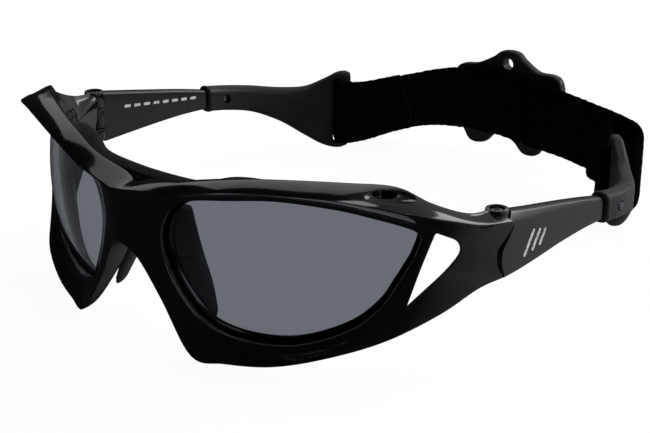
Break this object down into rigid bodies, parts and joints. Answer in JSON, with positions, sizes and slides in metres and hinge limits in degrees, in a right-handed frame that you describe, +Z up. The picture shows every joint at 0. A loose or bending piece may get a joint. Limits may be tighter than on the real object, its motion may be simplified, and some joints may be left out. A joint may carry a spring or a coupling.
{
  "type": "sport sunglasses",
  "caption": "Wraparound sport sunglasses with curved grey lenses, folding arms with rubber sleeves, and an adjustable webbing head strap with a rubber rear pad.",
  "frame": {"origin": "middle of the footprint, on the surface that the rims and the sleeve ends stand on", "axes": "-Y the way the wearer looks, +X the wearer's left, +Z up"},
  "size_m": [0.1372, 0.1541, 0.0427],
  "materials": {
    "gloss_black_nylon": "polished moulded nylon",
    "satin_black_nylon": "satin moulded nylon",
    "matte_black_rubber": "matte soft rubber",
    "matte_seal_foam": "matte closed-cell foam",
    "black_pile_webbing": "brushed loop pile",
    "black_hook_tape": "moulded hook tape",
    "grey_polarised_lens": "clear-polished grey polycarbonate",
    "dark_steel": "dark plated steel"
  },
  "bodies": {
    "front": {"front_frame": "gloss_black_nylon", "lens_left": "grey_polarised_lens", "lens_right": "grey_polarised_lens", "brow_seal": "matte_seal_foam", "nose_pad_left": "matte_black_rubber", "nose_pad_right": "matte_black_rubber", "hinge_screw_left": "dark_steel", "hinge_screw_right": "dark_steel"},
    "temple_left": {"arm_left": "satin_black_nylon", "sleeve_left": "matte_black_rubber", "sleeve_stud_left": "dark_steel"},
    "temple_right": {"arm_right": "satin_black_nylon", "sleeve_right": "matte_black_rubber", "sleeve_stud_right": "dark_steel"},
    "strap_left": {"strap_left": "black_pile_webbing", "fold_tape_left": "black_hook_tape"},
    "strap_right": {"strap_right": "black_pile_webbing", "fold_tape_right": "black_hook_tape", "rear_pad": "matte_black_rubber", "pad_tape_left": "black_hook_tape", "pad_tape_right": "black_hook_tape"}
  },
  "joints": [
    {"name": "temple_left_fold", "type": "hinge", "parent": "front", "child": "temple_left", "pos_m": [0.065, -0.02802, 0.02346], "axis": [0, 0.03, 0.9996], "range_deg": [0, 90]},
    {"name": "temple_right_fold", "type": "hinge", "parent": "front", "child": "temple_right", "pos_m": [-0.065, -0.02802, 0.02346], "axis": [0, -0.03, -0.9996], "range_deg": [0, 72]},
    {"name": "strap_left_swing", "type": "hinge", "parent": "temple_left", "child": "strap_left", "pos_m": [0.0459, 0.05156, 0.01167], "axis": [0, 0.03, 0.9996], "range_deg": [0, 122.1], "deforming": ["strap_left", "fold_tape_left"]},
    {"name": "strap_right_swing", "type": "hinge", "parent": "temple_right", "child": "strap_right", "pos_m": [-0.0459, 0.05156, 0.01167], "axis": [0, -0.03, -0.9996], "range_deg": [0, 122.1], "deforming": ["strap_right", "fold_tape_right"]}
  ],
  "couplings": [
    {"joint": "strap_left_swing", "follows": "temple_left_fold", "ratio": 1.3556},
    {"joint": "strap_right_swing", "follows": "temple_right_fold", "ratio": 1.6944}
  ]
}
